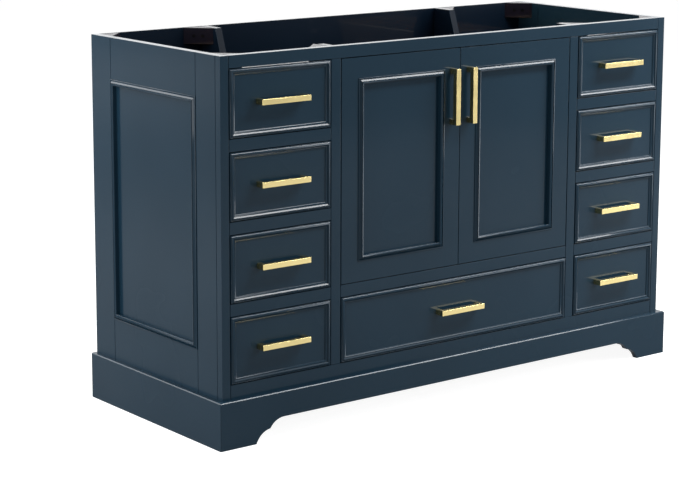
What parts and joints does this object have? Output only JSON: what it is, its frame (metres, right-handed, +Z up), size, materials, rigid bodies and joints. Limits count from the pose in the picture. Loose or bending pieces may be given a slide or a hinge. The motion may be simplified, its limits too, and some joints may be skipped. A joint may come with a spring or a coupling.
{
  "type": "bathroom vanity cabinet",
  "caption": "Floor-standing bathroom vanity cabinet with a face frame, banks of inset drawers either side of doors over a wide drawer, framed sides and a scalloped base.",
  "frame": {"origin": "on the floor, midway between the two ends and midway between the wall face and the front of the pulls", "axes": "+X to the right of someone who faces the doors, +Y towards the wall, +Z up"},
  "size_m": [1.397, 0.5558, 0.8763],
  "materials": {
    "navy_paint": "sprayed satin lacquer over wood",
    "satin_brass": "satin",
    "zinc_steel": "zinc plated",
    "birch": "clear lacquer"
  },
  "bodies": {
    "cabinet": {"face_frame": "navy_paint", "left_side_frame": "navy_paint", "left_side_panel": "navy_paint", "right_side_frame": "navy_paint", "right_side_panel": "navy_paint", "left_partition": "navy_paint", "right_partition": "navy_paint", "back_panel": "navy_paint", "cabinet_floor": "navy_paint", "center_shelf": "navy_paint", "base_front": "navy_paint", "base_left": "navy_paint", "base_right": "navy_paint", "runners_left_outer": "zinc_steel", "runners_left_inner": "zinc_steel", "runners_right_outer": "zinc_steel", "runners_right_inner": "zinc_steel", "runner_center_left": "zinc_steel", "runner_center_right": "zinc_steel", "left_door_lower_hinge_arm": "zinc_steel", "left_door_upper_hinge_arm": "zinc_steel", "right_door_lower_hinge_arm": "zinc_steel", "right_door_upper_hinge_arm": "zinc_steel"},
    "left_drawer_1": {"left_drawer_1_front": "navy_paint", "left_drawer_1_box": "birch", "left_drawer_1_pull": "satin_brass"},
    "left_drawer_2": {"left_drawer_2_front": "navy_paint", "left_drawer_2_box": "birch", "left_drawer_2_pull": "satin_brass"},
    "left_drawer_3": {"left_drawer_3_front": "navy_paint", "left_drawer_3_box": "birch", "left_drawer_3_pull": "satin_brass"},
    "left_drawer_4": {"left_drawer_4_front": "navy_paint", "left_drawer_4_box": "birch", "left_drawer_4_pull": "satin_brass"},
    "right_drawer_1": {"right_drawer_1_front": "navy_paint", "right_drawer_1_box": "birch", "right_drawer_1_pull": "satin_brass"},
    "right_drawer_2": {"right_drawer_2_front": "navy_paint", "right_drawer_2_box": "birch", "right_drawer_2_pull": "satin_brass"},
    "right_drawer_3": {"right_drawer_3_front": "navy_paint", "right_drawer_3_box": "birch", "right_drawer_3_pull": "satin_brass"},
    "right_drawer_4": {"right_drawer_4_front": "navy_paint", "right_drawer_4_box": "birch", "right_drawer_4_pull": "satin_brass"},
    "center_drawer": {"center_drawer_front": "navy_paint", "center_drawer_box": "birch", "center_drawer_pull": "satin_brass"},
    "left_door": {"left_door_frame": "navy_paint", "left_door_panel": "navy_paint", "left_door_pull": "satin_brass", "left_door_lower_hinge_cup": "zinc_steel", "left_door_upper_hinge_cup": "zinc_steel"},
    "right_door": {"right_door_frame": "navy_paint", "right_door_panel": "navy_paint", "right_door_pull": "satin_brass", "right_door_lower_hinge_cup": "zinc_steel", "right_door_upper_hinge_cup": "zinc_steel"}
  },
  "joints": [
    {"name": "left_drawer_1_slide", "type": "slide", "parent": "cabinet", "child": "left_drawer_1", "axis": [0, -1, 0], "range_m": [0, 0.35]},
    {"name": "left_drawer_2_slide", "type": "slide", "parent": "cabinet", "child": "left_drawer_2", "axis": [0, -1, 0], "range_m": [0, 0.35]},
    {"name": "left_drawer_3_slide", "type": "slide", "parent": "cabinet", "child": "left_drawer_3", "axis": [0, -1, 0], "range_m": [0, 0.35]},
    {"name": "left_drawer_4_slide", "type": "slide", "parent": "cabinet", "child": "left_drawer_4", "axis": [0, -1, 0], "range_m": [0, 0.35]},
    {"name": "right_drawer_1_slide", "type": "slide", "parent": "cabinet", "child": "right_drawer_1", "axis": [0, -1, 0], "range_m": [0, 0.35]},
    {"name": "right_drawer_2_slide", "type": "slide", "parent": "cabinet", "child": "right_drawer_2", "axis": [0, -1, 0], "range_m": [0, 0.35]},
    {"name": "right_drawer_3_slide", "type": "slide", "parent": "cabinet", "child": "right_drawer_3", "axis": [0, -1, 0], "range_m": [0, 0.35]},
    {"name": "right_drawer_4_slide", "type": "slide", "parent": "cabinet", "child": "right_drawer_4", "axis": [0, -1, 0], "range_m": [0, 0.35]},
    {"name": "center_drawer_slide", "type": "slide", "parent": "cabinet", "child": "center_drawer", "axis": [0, -1, 0], "range_m": [0, 0.35]},
    {"name": "left_door_hinge", "type": "hinge", "parent": "cabinet", "child": "left_door", "pos_m": [-0.353, -0.25315, 0.3258], "axis": [0, 0, -1], "range_deg": [0, 90]},
    {"name": "right_door_hinge", "type": "hinge", "parent": "cabinet", "child": "right_door", "pos_m": [0.353, -0.25315, 0.3258], "axis": [0, 0, 1], "range_deg": [0, 90]}
  ]
}
